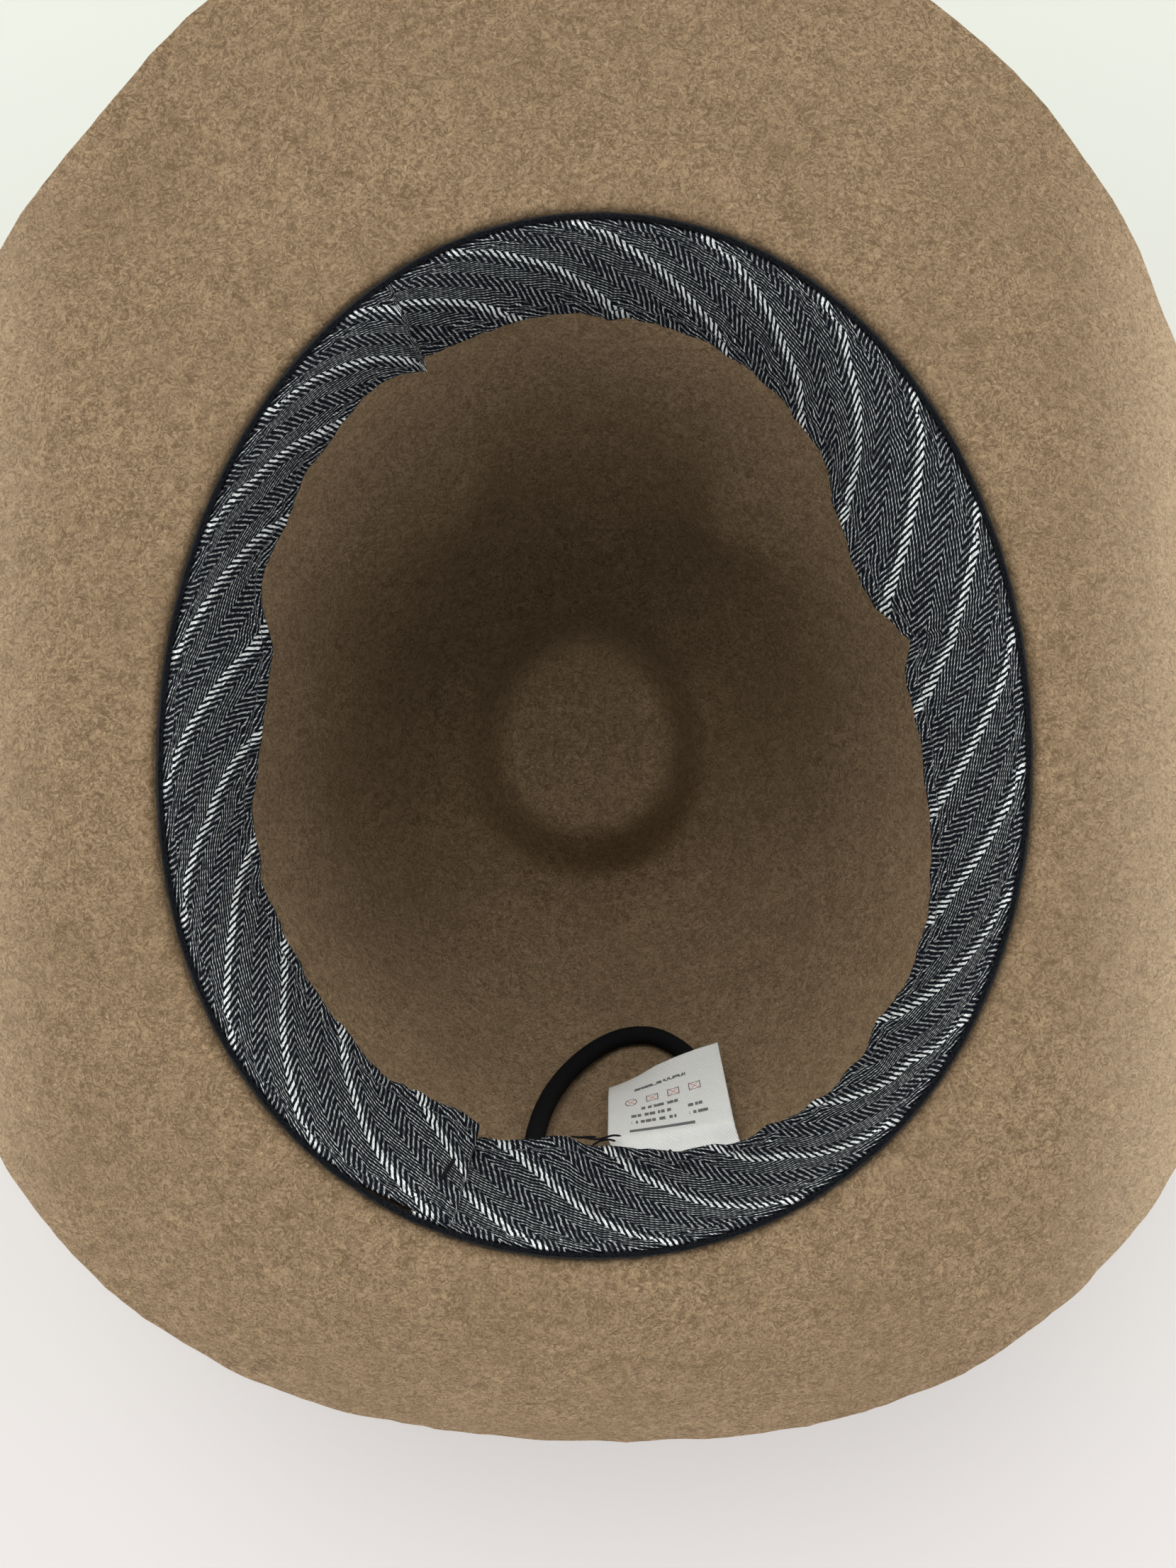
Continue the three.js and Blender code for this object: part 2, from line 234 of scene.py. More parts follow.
def brim_point(angle, reach, thickness):
    drop = brim_drop(angle)
    edge = BRIM_START + BRIM_WIDTH - drop**2 / BRIM_WIDTH / 1.5
    slope = BRIM_CURL * drop * reach ** (BRIM_CURL - 1) / (edge - BREAK_RADIUS)
    tilt = np.arctan(slope)
    out = mix(BREAK_RADIUS, edge, reach) - thickness * np.sin(tilt)
    return beside_opening(angle, out, drop * reach**BRIM_CURL + thickness * np.cos(tilt))


def tip_point(angle, reach, thickness):
    """The dented tip, from its middle to the ridge the hat stands on."""
    half_width, half_length = RIDGE[0] - RIDGE_FLAT, RIDGE[1] - RIDGE_FLAT
    point = oval(angle, half_width * reach, half_length * reach, RIDGE[2])
    crease = DENT * (1 - ease(DENT_FLOOR, 1, reach))
    return point + np.array([CENTRE[0], CENTRE[1] + RIDGE_FORWARD, FELT - thickness + crease])


# ---- meshes ----
def ripple(points, size, seed, count=24):
    """Smooth random waves about `size` long, from -1 to 1, at each point."""
    waves = np.random.default_rng(seed)
    total = 0
    for _ in range(count):
        direction = waves.normal(size=points.shape[-1])
        direction *= 2 * math.pi / (size * waves.uniform(0.7, 1.6) * np.linalg.norm(direction))
        total = total + np.sin(points @ direction + waves.uniform(0, 2 * math.pi))
    return total / math.sqrt(count * 2)


def new_object(name, mesh, material, body="hat"):
    mesh.materials.append(material)
    mesh.polygons.foreach_set("use_smooth", np.ones(len(mesh.polygons), bool))
    obj = bpy.data.objects.new(name, mesh)
    bpy.context.scene.collection.objects.link(obj)
    if body:
        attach(obj, body)
    return obj


def skin(name, rows, uv=None, wrap_cols=True, wrap_rows=False, caps=False):
    """A mesh over a grid of points in millimetres. uv is in millimetres, one column more if wrapped."""
    count_rows, count_cols = rows.shape[:2]
    vertices = rows.reshape(-1, 3) * MM
    r = np.arange(count_rows if wrap_rows else count_rows - 1)
    c = np.arange(count_cols if wrap_cols else count_cols - 1)
    r, c = [grid.ravel() for grid in np.meshgrid(r, c, indexing="ij")]
    r1, c1 = (r + 1) % count_rows, (c + 1) % count_cols
    quads = np.stack([r * count_cols + c, r * count_cols + c1, r1 * count_cols + c1, r1 * count_cols + c], 1)
    faces = quads.tolist()
    if caps:
        faces.append(list(range(count_cols))[::-1])
        faces.append(list(range((count_rows - 1) * count_cols, count_rows * count_cols)))
    mesh = bpy.data.meshes.new(name)
    mesh.from_pydata(vertices.tolist(), [], faces)
    if uv is not None:
        layer = mesh.uv_layers.new(name="UVMap")
        corners = np.stack([uv[r, c], uv[r, c + 1], uv[r + 1, c + 1], uv[r + 1, c]], 1).reshape(-1, 2) * MM
        values = np.zeros((len(mesh.loops), 2))
        values[: len(corners)] = corners
        layer.data.foreach_set("uv", values.ravel())
    mesh.validate()
    return mesh


def tube_rows(points, radius, sides):
    """Rings of points round a path, from start to end, with a steady frame."""
    tangent = unit(np.gradient(points, axis=0))
    up = np.zeros_like(points)
    up[0] = unit(np.cross(tangent[0], [0.3, 0.5, 0.8]))
    for i in range(1, len(points)):
        up[i] = unit(up[i - 1] - tangent[i] * (up[i - 1] @ tangent[i]))
    side = np.cross(tangent, up)
    turn = np.linspace(0, 2 * math.pi, sides, endpoint=False)
    radius = np.broadcast_to(radius, (len(points), sides))
    ring = up[:, None] * np.cos(turn)[None, :, None] + side[:, None] * np.sin(turn)[None, :, None]
    return points[:, None] + ring * radius[..., None]


def smooth_path(points, count):
    """A Catmull-Rom curve through the points, resampled to even steps."""
    points = np.asarray(points, float)
    padded = np.vstack([2 * points[0] - points[1], points, 2 * points[-1] - points[-2]])
    t = np.linspace(0, 1, 24, endpoint=False)[:, None]
    fine = []
    for p0, p1, p2, p3 in zip(padded, padded[1:], padded[2:], padded[3:]):
        fine.append(0.5 * (2 * p1 + (p2 - p0) * t + (2 * p0 - 5 * p1 + 4 * p2 - p3) * t**2
                           + (3 * p1 - p0 - 3 * p2 + p3) * t**3))
    fine = np.vstack([*fine, points[-1:]])
    length = np.concatenate([[0], np.cumsum(np.linalg.norm(np.diff(fine, axis=0), axis=1))])
    even = np.linspace(0, length[-1], count)
    return np.stack([np.interp(even, length, fine[:, k]) for k in range(3)], 1)


def rounded_tips(count, radius, cut=6):
    """Radii along a thread that close softly at both ends."""
    steps = np.minimum(np.arange(count), np.arange(count)[::-1]) / cut
    return radius * np.sqrt(np.clip(1 - (1 - np.clip(steps, 0, 1)) ** 2, 0.0004, 1))


def stitches(name, starts, ends, normals, radius, material, arch=0.5):
    """A row of short threads, each arching out of the cloth between its two holes."""
    t = np.array([0, 0.06, 0.2, 0.4, 0.6, 0.8, 0.94, 1])
    thick = np.array([0.25, 0.7, 1, 1, 1, 1, 0.7, 0.25]) * radius
    turn = np.linspace(0, 2 * math.pi, 8, endpoint=False)
    vertices, faces = [], []
    for start, end, normal in zip(starts, ends, normals):
        along = unit(end - start)
        side = np.cross(along, normal)
        rise = radius * (arch * np.sin(math.pi * t) - 0.3)
        line = mix(start, end, t[:, None]) + normal * rise[:, None]
        ring = np.cos(turn)[None, :, None] * normal + np.sin(turn)[None, :, None] * side
        rows = line[:, None] + ring * thick[:, None, None]
        base = len(vertices)
        vertices.extend((rows.reshape(-1, 3) * MM).tolist())
        n = len(turn)
        for r in range(len(t) - 1):
            for c in range(n):
                near, far = base + r * n, base + (r + 1) * n
                faces.append([near + (c + 1) % n, near + c, far + c, far + (c + 1) % n])
        faces.append([base + c for c in range(n)])
        faces.append([base + (len(t) - 1) * n + c for c in reversed(range(n))])
    mesh = bpy.data.meshes.new(name)
    mesh.from_pydata(vertices, [], faces)
    return new_object(name, mesh, material)


# ---- materials ----
class Shader:
    """A material's node tree, with short calls for the nodes used here."""

    def __init__(self, name):
        self.material = bpy.data.materials.new(name)
        self.material.use_nodes = True
        self.tree = self.material.node_tree
        self.surface = self.tree.nodes["Principled BSDF"]
        self.surface.inputs["Metallic"].default_value = 0

    def node(self, kind, inputs=(), **settings):
        made = self.tree.nodes.new(kind)
        for key, value in settings.items():
            setattr(made, key, value)
        for key, value in dict(inputs).items():
            self.plug(made.inputs[key], value)
        return made

    def plug(self, socket, value):
        if isinstance(value, bpy.types.NodeSocket):
            self.tree.links.new(value, socket)
        else:
            socket.default_value = value

    def math(self, operation, *values):
        made = self.node("ShaderNodeMath", operation=operation)
        for socket, value in zip(made.inputs, values):
            self.plug(socket, value)
        return made.outputs[0]

    def place(self, kind="Object"):
        return self.node("ShaderNodeTexCoord").outputs[kind]

    def noise(self, vector, scale, detail=3.0, rough=0.55, distort=0.0):
        made = self.node("ShaderNodeTexNoise", {"Vector": vector, "Scale": scale, "Detail": detail,
                                                "Roughness": rough, "Distortion": distort})
        return made.outputs["Fac"]

    def span(self, value, low, high, to_low=0.0, to_high=1.0):
        made = self.node("ShaderNodeMapRange", interpolation_type="SMOOTHSTEP")
        for socket, number in zip(made.inputs, (value, low, high, to_low, to_high)):
            self.plug(socket, number)
        return made.outputs[0]

    def blend(self, share, low, high):
        made = self.node("ShaderNodeMix", data_type="RGBA")
        self.plug(made.inputs["Factor"], share)
        for socket, value in zip((made.inputs[6], made.inputs[7]), (low, high)):
            self.plug(socket, value if isinstance(value, bpy.types.NodeSocket) else (*value, 1))
        return made.outputs[2]

    def finish(self, color, rough, height=None, depth=0.0002, **fixed):
        self.plug(self.surface.inputs["Base Color"], color if not isinstance(color, tuple) else (*color, 1))
        self.plug(self.surface.inputs["Roughness"], rough)
        for key, value in fixed.items():
            self.surface.inputs[key.replace("_", " ")].default_value = value
        if height is not None:
            bump = self.node("ShaderNodeBump", {"Height": height, "Distance": depth, "Strength": 1.0})
            self.tree.links.new(bump.outputs[0], self.surface.inputs["Normal"])
        return self.material


def felt_material():
    s = Shader("camel_felt")
    at = s.place()
    clump = s.noise(at, 230, 3, 0.6, 1.8)
    curl = s.noise(at, 560, 4, 0.65, 2.6)
    fibre = s.noise(at, 1500, 4, 0.7, 1.6)
    cloud = s.noise(at, 34, 3, 0.55)
    speck = s.noise(at, 760, 2, 0.5, 0.6)
    tone = s.math("ADD", s.math("MULTIPLY", clump, 0.2), s.math("MULTIPLY", curl, 0.5))
    tone = s.math("ADD", tone, s.math("MULTIPLY", fibre, 0.3))
    color = s.blend(s.span(tone, 0.39, 0.62), (0.196, 0.127, 0.064), (0.505, 0.352, 0.207))
    color = s.blend(s.span(cloud, 0.35, 0.7, 0.0, 0.25), color, (0.25, 0.166, 0.092))
    color = s.blend(s.span(speck, 0.66, 0.78, 0.0, 0.35), color, (0.12, 0.075, 0.038))
    color = s.blend(s.span(fibre, 0.62, 0.76, 0.0, 0.45), color, (0.60, 0.46, 0.31))
    # Paler felt at the brim's left and right margins. It was tuned to the photo's brightness there, which is
    # probably its light and not the felt, so this paints light: it stays the same under any other lamp.
    side = s.math("ABSOLUTE", s.math("ADD", s.node("ShaderNodeSeparateXYZ", {0: at}).outputs[0], 0.006))
    paler = s.math("MULTIPLY", s.span(side, 0.095, 0.146), s.span(curl, 0.3, 0.6, 0.4, 0.9))
    color = s.blend(paler, color, (0.72, 0.54, 0.35))
    height = s.math("ADD", tone, s.math("MULTIPLY", fibre, 0.4))
    return s.finish(color, 0.95, height, 0.0013, Sheen_Weight=0.05, Sheen_Roughness=0.5,
                    Specular_IOR_Level=0.1, Sheen_Tint=(0.9, 0.78, 0.62, 1))


COLUMN = 4.25  # width of a herringbone column
REPEAT = 2.1  # from one twill line to the next, along a column
LEAN = (0.655, 0.755)  # the columns lie on the bias
RISE = 1.55  # how steeply the lines cross a column, one way and the other
FALL = 2.35
CHALK = 2.0  # width of the chalk stripe at the side of every second pair's first column


def herringbone_material():
    """Navy warp under off-white weft: twill lines that turn at each column, with chalk stripes."""
    s = Shader("herringbone_twill")
    uv = s.node("ShaderNodeSeparateXYZ", {0: s.place("UV")})
    wobble = s.noise(s.place("UV"), 110, 2, 0.5)
    wobble = s.math("MULTIPLY", s.math("SUBTRACT", wobble, 0.5), 1.0)
    around = s.math("ADD", s.math("MULTIPLY", uv.outputs[0], 1000), wobble)
    down = s.math("SUBTRACT", s.math("MULTIPLY", uv.outputs[1], 1000), wobble)
    along = s.math("SUBTRACT", s.math("MULTIPLY", down, LEAN[0]), s.math("MULTIPLY", around, LEAN[1]))
    across = s.math("ADD", s.math("MULTIPLY", around, LEAN[0]), s.math("MULTIPLY", down, LEAN[1]))
    pair = s.math("FLOOR", s.math("DIVIDE", across, 2 * COLUMN))
    inside = s.math("SUBTRACT", across, s.math("MULTIPLY", pair, 2 * COLUMN))
    second = s.math("GREATER_THAN", inside, COLUMN)
    up = s.math("MULTIPLY", s.math("MINIMUM", inside, COLUMN), RISE)
    back = s.math("MULTIPLY", s.math("MAXIMUM", s.math("SUBTRACT", inside, COLUMN), 0), FALL)
    step = s.math("MULTIPLY", pair, COLUMN * (RISE - FALL))
    twill = s.math("SUBTRACT", s.math("ADD", along, back), s.math("ADD", up, step))
    yarn = s.noise(s.place("UV"), 1150, 2, 0.6)
    loose = s.math("MULTIPLY", s.math("SUBTRACT", s.noise(s.place("UV"), 620, 2, 0.6), 0.5), 0.5)
    turns = s.math("ADD", s.math("DIVIDE", twill, REPEAT), loose)
    line = s.math("SINE", s.math("MULTIPLY", turns, 2 * math.pi))
    row = s.math("FLOOR", s.math("ADD", turns, 0.25))

    def floats(length):
        """Beads of this length along a line, staggered from line to line, and how white each one is."""
        place = s.math("ADD", s.math("DIVIDE", across, length), s.math("MULTIPLY", row, 0.43))
        cell = s.node("ShaderNodeCombineXYZ", {0: s.math("FLOOR", place), 1: row, 2: length}).outputs[0]
        shown = s.node("ShaderNodeTexWhiteNoise", {"Vector": cell}).outputs["Value"]
        return s.math("SINE", s.math("MULTIPLY", place, 2 * math.pi)), shown

    even = s.math("LESS_THAN", s.math("FLOORED_MODULO", pair, 2), 0.5)
    chalk = s.math("MULTIPLY", even, s.math("LESS_THAN", inside, CHALK))
    bead, shown = floats(0.55)
    bold = s.math("MULTIPLY", s.span(line, -0.25, 0.25), s.span(bead, -1.4, -0.2, 0.6, 1.0))
    bold = s.math("MULTIPLY", bold, s.span(shown, 0.0, 0.3, 0.6, 1.0))
    bead, shown = floats(0.42)
    plain = s.math("MULTIPLY", s.span(line, 0.3, 0.85), s.span(bead, -0.8, 0.1, 0.1, 1.0))
    plain = s.math("MULTIPLY", plain, s.span(shown, 0.05, 0.75, 0.3, 1.15))
    bead, shown = floats(0.34)
    dots = s.math("MULTIPLY", s.span(line, 0.2, 0.8), s.span(bead, -0.6, 0.3, 0.1, 1.0))
    dots = s.math("MULTIPLY", dots, s.span(shown, 0.1, 0.7, 0.2, 1.15))
    thin = s.math("MULTIPLY", s.node("ShaderNodeMix", {0: second, 2: dots, 3: plain}).outputs[0], 0.68)
    white = s.node("ShaderNodeMix", {0: chalk, 2: thin, 3: bold}).outputs[0]
    white = s.math("MULTIPLY", white, s.span(yarn, 0.25, 0.65, 0.6, 1.05))
    white = s.math("MULTIPLY", white, s.span(down, BAND_BOTTOM - 0.3, BAND_BOTTOM + 0.4, 1.0, 0.3))
    color = s.blend(white, (0.0040, 0.0050, 0.008), (0.86, 0.90, 0.88))
    height = s.math("ADD", white, s.math("MULTIPLY", yarn, 0.4))
    return s.finish(color, 0.9, height, 0.00022, Specular_IOR_Level=0.08)


def black_tape_material():
    s = Shader("black_tape")
    uv = s.node("ShaderNodeSeparateXYZ", {0: s.place("UV")})
    turn = s.math("ADD", uv.outputs[0], s.math("MULTIPLY", uv.outputs[1], 0.7))
    rib = s.math("SINE", s.math("MULTIPLY", turn, 2 * math.pi / 0.00055))
    fuzz = s.noise(s.place("UV"), 1800, 4, 0.7)
    color = s.blend(s.span(fuzz, 0.35, 0.72), (0.0022, 0.0026, 0.0036), (0.020, 0.0225, 0.028))
    height = s.math("ADD", s.math("MULTIPLY", rib, 0.4), fuzz)
    return s.finish(color, 0.95, height, 0.00035, Specular_IOR_Level=0.06)


def cord_material():
    s = Shader("black_braid")
    uv = s.node("ShaderNodeSeparateXYZ", {0: s.place("UV")})
    fuzz = s.noise(s.place("UV"), 1500, 3, 0.65)
    slant = s.math("ADD", uv.outputs[0], uv.outputs[1])
    thread = s.math("SINE", s.math("MULTIPLY", slant, 2 * math.pi / 0.0005))
    color = s.blend(fuzz, (0.0012, 0.0013, 0.0016), (0.0075, 0.0078, 0.0085))
    height = s.math("ADD", s.math("MULTIPLY", thread, 0.3), fuzz)
    return s.finish(color, 0.8, height, 0.00012, Specular_IOR_Level=0.12)


def thread_material(name, dark, light):
    s = Shader(name)
    at = s.place()
    grain = s.noise(at, 2600, 3, 0.6)
    color = s.blend(grain, dark, light)
    return s.finish(color, 0.8, grain, 0.0001, Specular_IOR_Level=0.12)


def ribbon_material():
    s = Shader("ribbed_ribbon")
    uv = s.node("ShaderNodeSeparateXYZ", {0: s.place("UV")})
    rib = s.math("SINE", s.math("MULTIPLY", uv.outputs[0], 2 * math.pi / 0.0009))
    yarn = s.noise(s.place("UV"), 1500, 3, 0.6)
    shade = s.math("ADD", s.span(rib, -1, 1, 0.0, 0.6), s.math("MULTIPLY", yarn, 0.5))
    color = s.blend(shade, (0.030, 0.018, 0.011), (0.085, 0.052, 0.032))
    height = s.math("ADD", s.math("MULTIPLY", rib, 0.5), s.math("MULTIPLY", yarn, 0.3))
    return s.finish(color, 0.6, height, 0.00018, Sheen_Weight=0.15, Specular_IOR_Level=0.35)


def label_material():
    """White satin with a fine diagonal, printed with plain bars and four crossed-out outlines."""
    s = Shader("label_satin")
    uv = s.node("ShaderNodeSeparateXYZ", {0: s.place("UV")})
    across = s.math("MULTIPLY", uv.outputs[0], 1000)
    down = s.math("MULTIPLY", uv.outputs[1], 1000)
    twill = s.math("SINE", s.math("MULTIPLY", s.math("ADD", across, down), 2 * math.pi / 0.62))
    yarn = s.noise(s.place("UV"), 1600, 3, 0.6)

    def near(value, middle, half):
        return s.math("LESS_THAN", s.math("ABSOLUTE", s.math("SUBTRACT", value, middle)), half)

    def both(*masks):
        total = masks[0]
        for mask in masks[1:]:
            total = s.math("MULTIPLY", total, mask)
        return total

    def either(*masks):
        total = masks[0]
        for mask in masks[1:]:
            total = s.math("MAXIMUM", total, mask)
        return total

    gaps = s.noise(s.node("ShaderNodeCombineXYZ", {0: s.math("MULTIPLY", across, 0.9), 1: s.math(
        "FLOOR", s.math("DIVIDE", down, 2.6))}).outputs[0], 1.0, 1, 0.5)
    words = s.math("GREATER_THAN", gaps, 0.46)
    bars = [(12.2, 5.5, 10.5, 0.62), (12.2, 19.0, 4.6, 0.55), (15.0, 5.5, 9.5, 0.62),
            (15.0, 19.0, 3.4, 0.55), (17.8, 8.0, 9.0, 0.55), (26.2, 6.5, 13.0, 0.5)]
    solid = both(near(down, 8.6, 0.55), near(across, 12.5, 7.5))
    ink = either(solid, *[both(near(down, row, half), near(across, start + wide / 2, wide / 2), words)
                   for row, start, wide, half in bars])
    outline, crosses = [], []
    for index, middle in enumerate((5.6, 10.8, 16.0, 21.2)):
        x = s.math("ABSOLUTE", s.math("SUBTRACT", across, middle))
        y = s.math("ABSOLUTE", s.math("SUBTRACT", down, 21.3))
        if index == 0:
            size = s.math("SQRT", s.math("ADD", s.math("MULTIPLY", x, x), s.math("MULTIPLY", y, y)))
        else:
            size = s.math("MAXIMUM", x, s.math("MULTIPLY", y, 1.25))
        outline.append(near(size, 1.35, 0.12))
        crosses.append(both(near(s.math("SUBTRACT", x, y), 0.0, 0.16), s.math("LESS_THAN", size, 1.7)))
    cloth = s.blend(s.span(twill, -1, 1, 0.0, 1.0), (0.66, 0.66, 0.63), (0.85, 0.85, 0.825))
    cloth = s.blend(s.math("MULTIPLY", yarn, 0.25), cloth, (0.48, 0.48, 0.46))
    color = s.blend(s.math("MULTIPLY", either(*crosses), 0.75), cloth, (0.62, 0.10, 0.06))
    color = s.blend(s.math("MULTIPLY", either(ink, *outline), 0.85), color, (0.03, 0.03, 0.035))
    height = s.math("ADD", s.math("MULTIPLY", twill, 0.5), s.math("MULTIPLY", yarn, 0.4))
    return s.finish(color, 0.5, height, 0.00007, Sheen_Weight=0.1, Specular_IOR_Level=0.4)


FELT_LOOK = felt_material()
TWILL_LOOK = herringbone_material()
TAPE_LOOK = black_tape_material()
CORD_LOOK = cord_material()
RIBBON_LOOK = ribbon_material()
LABEL_LOOK = label_material()
BLACK_THREAD = thread_material("black_thread", (0.002, 0.002, 0.0025), (0.012, 0.012, 0.014))
GREY_THREAD = thread_material("grey_thread", (0.02, 0.022, 0.028), (0.16, 0.165, 0.17))
BROWN_THREAD = thread_material("brown_thread", (0.03, 0.018, 0.01), (0.09, 0.055, 0.035))
REED_LOOK = thread_material("reed_plastic", (0.01, 0.01, 0.01), (0.02, 0.02, 0.02))


# ---- felt ----
AROUND = 384
TIP_REACHES = np.linspace(0.015, 1, 34)
RIDGE_SHARES = np.array([0.33, 0.67, 1.0])
WALL_DEPTHS = mix(BREAK_RADIUS, DEPTH, np.sin(np.linspace(math.pi / 2, 0, 61)[1:-1]) ** 1.25)
BREAK_TURNS = np.linspace(0, 90, 9)
BRIM_REACHES = np.linspace(0.03, 1, 54)
# How freely each ring of the felt may undulate: not under the bands, nor where the hat stands.
LOOSE = np.concatenate([
    0.6 * np.ones(len(TIP_REACHES)), 0 * RIDGE_SHARES, ease(35, 50, WALL_DEPTHS) * ease(112, 96, WALL_DEPTHS),
    0 * BREAK_TURNS, ease(0.05, 0.35, BRIM_REACHES)])[:, None]
BRIM_ONLY = np.concatenate([np.zeros(len(LOOSE) - len(BRIM_REACHES)), ease(0.15, 0.7, BRIM_REACHES)])[:, None]
TROUGH = (131, 10, 4.5)  # a shallow valley in the brim, not in the CAD: angle, half width, depth


def felt_rows(thickness):
    """Rings from the middle of the tip to the brim's edge."""
    angles = np.linspace(0, 360, AROUND, endpoint=False)
    rows = [tip_point(angles, reach, thickness) for reach in TIP_REACHES]
    ridge = wall_point(angles, np.full(AROUND, DEPTH))
    ridge[:, 2] = FELT - thickness
    rows += [mix(rows[-1], ridge, share) for share in RIDGE_SHARES]
    rows += [on_wall(angles, np.full(AROUND, depth), np.full(AROUND, -thickness)) for depth in WALL_DEPTHS]
    rows += [break_point(angles, turn, thickness) for turn in BREAK_TURNS]
    rows += [brim_point(angles, reach, thickness) for reach in BRIM_REACHES]
    rows = np.stack(rows)
    rows[..., 2] -= TROUGH[2] * bell(turn_between(angles, TROUGH[0]), TROUGH[1]) * BRIM_ONLY
    return rows


def make_felt():
    inside, outside = felt_rows(0), felt_rows(FELT)
    middle = (inside + outside) / 2
    normal = unit(inside - outside)
    relief = 0.26 * ripple(middle, 26, 3) + 0.16 * ripple(middle, 9, 4) + 0.08 * ripple(middle, 3.4, 5)
    relief = (relief * LOOSE)[..., None]
    inside = inside + normal * relief
    outside = outside + normal * relief
    edge_in, edge_out = inside[-1], outside[-1]
    away = unit(edge_in - inside[-2])
    ragged = 0.10 * ripple(middle[-1], 9.0, 8) + 0.06 * ripple(middle[-1], 3.0, 9)
    cut = []
    for turn in np.linspace(0, math.pi, 9)[1:-1]:
        share = (1 - math.cos(turn)) / 2
        proud = 0.55 * math.sin(turn) ** 0.6 + ragged * math.sin(turn)
        cut.append(mix(edge_out, edge_in, share) + away * proud[:, None])
    rows = np.concatenate([outside, np.stack(cut), inside[::-1]])
    felt = new_object("felt_hat", skin("felt_hat", rows, caps=True), FELT_LOOK)
    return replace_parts(felt, "felt_body")


# ---- sweatband ----
EDGE_ANGLES, EDGE_VALUES = np.array(EDGE_LIFT).T


def edge_lift(angle):
    """A smooth curve through the free edge's stand-offs, from one end of the band to the other."""
    angles = np.concatenate([[BAND_START - 2], EDGE_ANGLES])
    values = np.concatenate([[3.2], EDGE_VALUES])
    fine = np.linspace(angles[0], angles[-1], 2200)
    raw = np.interp(fine, angles, values)
    kernel = bell(np.linspace(-2, 2, 15), 1.0)
    padded = np.pad(raw, 7, mode="edge")
    return np.interp(angle, fine, np.convolve(padded, kernel / kernel.sum(), "valid"))


def band_lift(angle, depth):
    """Stand-off of the sweatband's outer face from the crown wall."""
    share = np.clip(depth / BAND_BOTTOM, 0, 1.05)
    lap = BAND_RAMP * ease(BAND_END - 3 * FLAT, BAND_END - FLAT, angle) * ease(-4, 6, depth)
    flat = np.stack([np.asarray(angle) * OPENING_MM, np.asarray(depth) * 0.55], -1)
    loose = np.clip(share * 1.3 - 0.15, 0, 1)
    rumple = (0.42 * ripple(flat, 14, 21) + 0.20 * ripple(flat, 6.5, 22)) * loose
    pucker = 0.20 * ripple(flat, 3.0, 23) * bell(depth - 6.5, 5)
    pucker = pucker + 0.16 * ripple(flat, 2.6, 24) * bell(depth - 30, 5)
    folds = 0
    for at, tall, before, after, lean in FOLDS:
        off = angle - at - lean * (depth - 17)
        fade = np.where(off > 0, np.exp(-off / after), np.exp(off / before))
        folds = folds + tall * fade * ease(1.5, 12, depth)
    level = np.stack([np.asarray(angle) * OPENING_MM, 0 * np.asarray(depth)], -1)
    wavy = 0.5 * ripple(level, 12, 25) * share**3
    lift = edge_lift(angle) * share**1.5 + lap + rumple + pucker + wavy + folds
    return BAND_GAP + np.maximum(lift, -0.1)


def band_thickness(depth):
    """The turned seam under the piping, its groove, and the folded hem with its edge seam."""
    thick = 0.95 + 0.28 * bell(depth - 2.3, 1.2) - 0.4 * bell(depth - TOP_SEAM, 0.5)
    up = BAND_BOTTOM - depth
    return thick + 0.38 * bell(up - 0.9, 0.8) - 0.34 * bell(up - HEM_SEAM, 0.5)


def edge_depth(angle):
    """The free edge isn't cut quite level."""
    points = np.stack([np.asarray(angle, float) * OPENING_MM, 0 * np.asarray(angle, float)], -1)
    drawn_up = 2.6 * bell(turn_between(angle, 128), 9) + 2.0 * bell(turn_between(angle, 309), 8)
    return 0.5 * ripple(points, 30, 31) + 0.18 * ripple(points, 7, 32) - drawn_up


def band_depth(angle, depth):
    share = np.clip((depth - BAND_TOP) / (BAND_BOTTOM - BAND_TOP), 0, 1)
    return depth + edge_depth(angle) * share**3


def band_face(angle, depth, proud=0.0):
    """A point on the sweatband's visible face."""
    angle, depth = np.broadcast_arrays(np.asarray(angle, float), np.asarray(depth, float))
    lift = band_lift(angle, depth) + band_thickness(depth) + proud
    return on_wall(angle, band_depth(angle, depth), lift)


